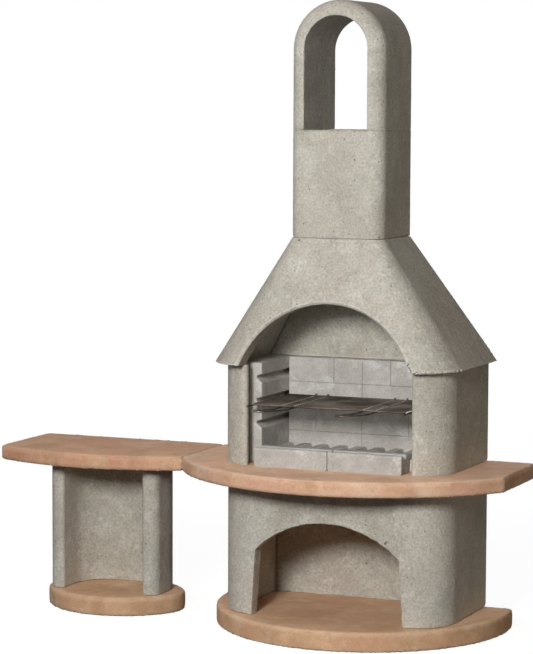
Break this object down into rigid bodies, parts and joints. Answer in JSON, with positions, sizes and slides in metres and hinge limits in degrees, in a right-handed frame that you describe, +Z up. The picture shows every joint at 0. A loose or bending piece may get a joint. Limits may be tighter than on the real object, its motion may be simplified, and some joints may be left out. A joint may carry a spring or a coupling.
{
  "type": "outdoor masonry barbecue",
  "caption": "Free-standing masonry barbecue with arched wood store, half-round worktop, lined firebox, sliding grill rack, hood, chimney and side table.",
  "frame": {"origin": "on the ground, at the centre of the round base slab of the main unit", "axes": "+X to the right seen from the front, +Y to the flat rear, +Z up"},
  "size_m": [1.775, 0.686, 2.017],
  "materials": {
    "concrete": "cast light grey concrete, fair faced, with small pores",
    "terracotta": "cast coloured concrete, terracotta, finely sanded",
    "refractory": "cast refractory, matt, slightly chalky",
    "rack_steel": "plated steel wire, slightly dulled"
  },
  "bodies": {
    "masonry": {"base_slab": "terracotta", "plinth": "concrete", "worktop_slab": "terracotta", "rear_wall": "concrete", "side_wall_left": "concrete", "side_wall_right": "concrete", "back_lining_left": "refractory", "back_lining_right": "refractory", "side_lining_left": "refractory", "side_lining_right": "refractory", "hearth_plate_left": "refractory", "hearth_plate_right": "refractory", "curb_block_left": "refractory", "curb_block_right": "refractory", "hood": "concrete", "chimney_block": "concrete", "chimney_cowl": "concrete", "table_base_slab": "terracotta", "table_support": "concrete", "table_top_slab": "terracotta"},
    "rack": {"grill_rack": "rack_steel"}
  },
  "joints": [
    {"name": "rack_slide", "type": "slide", "parent": "masonry", "child": "rack", "axis": [0, -1, 0], "range_m": [0, 0.18]}
  ]
}
